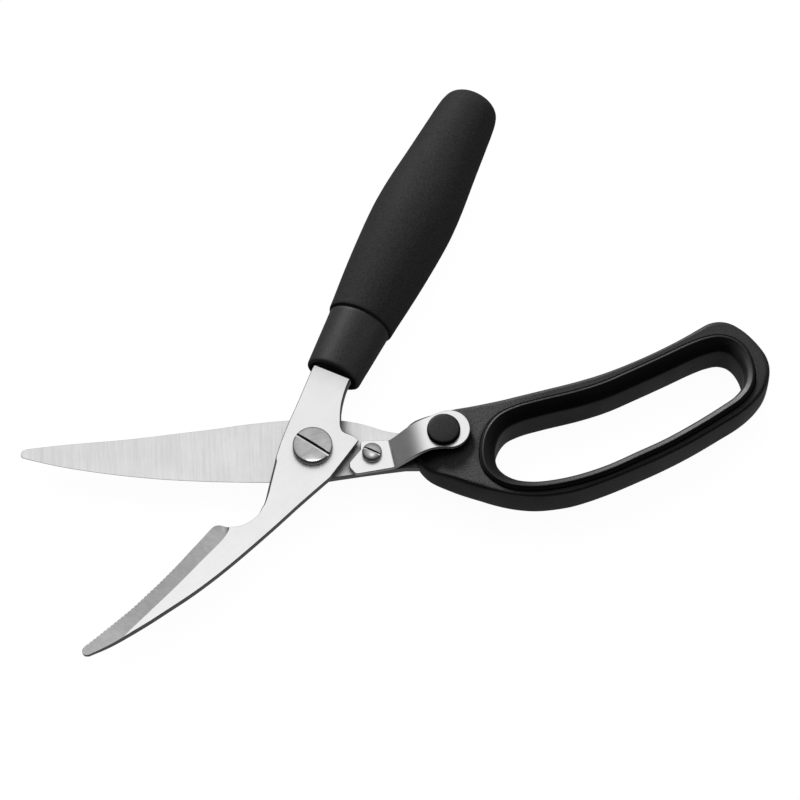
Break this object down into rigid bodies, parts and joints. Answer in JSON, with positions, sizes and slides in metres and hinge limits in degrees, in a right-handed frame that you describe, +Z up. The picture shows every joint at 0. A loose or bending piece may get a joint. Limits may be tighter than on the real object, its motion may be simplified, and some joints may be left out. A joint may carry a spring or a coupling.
{
  "type": "poultry shears",
  "caption": "Shears with a serrated blade, a plain blade, a straight grip, a closed finger loop and a swinging latch lever.",
  "frame": {"origin": "on the pivot axis, in the flat underside of the pivot nut", "axes": "+Z up along the pivot axis towards the screw heads, +X from the blade tips to the finger loop, +Y to the side of the straight grip"},
  "size_m": [0.2551, 0.2164, 0.0294],
  "materials": {
    "front_steel": "satin ground steel with a brighter edge bevel",
    "rear_steel": "satin steel with cross grinding marks",
    "screw_steel": "turned steel, slotted",
    "lever_steel": "bright satin steel strap",
    "button_black": "fine matt black",
    "hard_black": "fine grained black plastic",
    "soft_black": "soft black sleeve with a fine matt grain",
    "loop_black": "coarse grained black plastic",
    "liner_black": "smooth semi-gloss black"
  },
  "bodies": {
    "rear": {"rear_blade": "rear_steel", "pivot_screw": "screw_steel", "pivot_nut": "screw_steel", "pivot_lock_washer": "screw_steel", "pivot_friction_washer": "screw_steel", "latch_screw": "screw_steel", "latch_spring_washer": "screw_steel", "latch_nut": "screw_steel", "loop_frame": "loop_black", "loop_pins": "screw_steel", "loop_liner": "liner_black"},
    "front": {"front_blade": "front_steel", "grip_core": "hard_black", "grip_sleeve": "soft_black", "grip_pins": "screw_steel"},
    "latch": {"latch_lever": "lever_steel", "latch_button": "button_black", "latch_button_clip": "screw_steel"}
  },
  "joints": [
    {"name": "blade_pivot", "type": "hinge", "parent": "rear", "child": "front", "pos_m": [0, 0, 0.0073], "axis": [0, 0, 1], "range_deg": [-42, 0]},
    {"name": "latch_pivot", "type": "hinge", "parent": "rear", "child": "latch", "pos_m": [0.0201, -0.0016, 0.0066], "axis": [0, 0, 1], "range_deg": [-14, 4]}
  ]
}
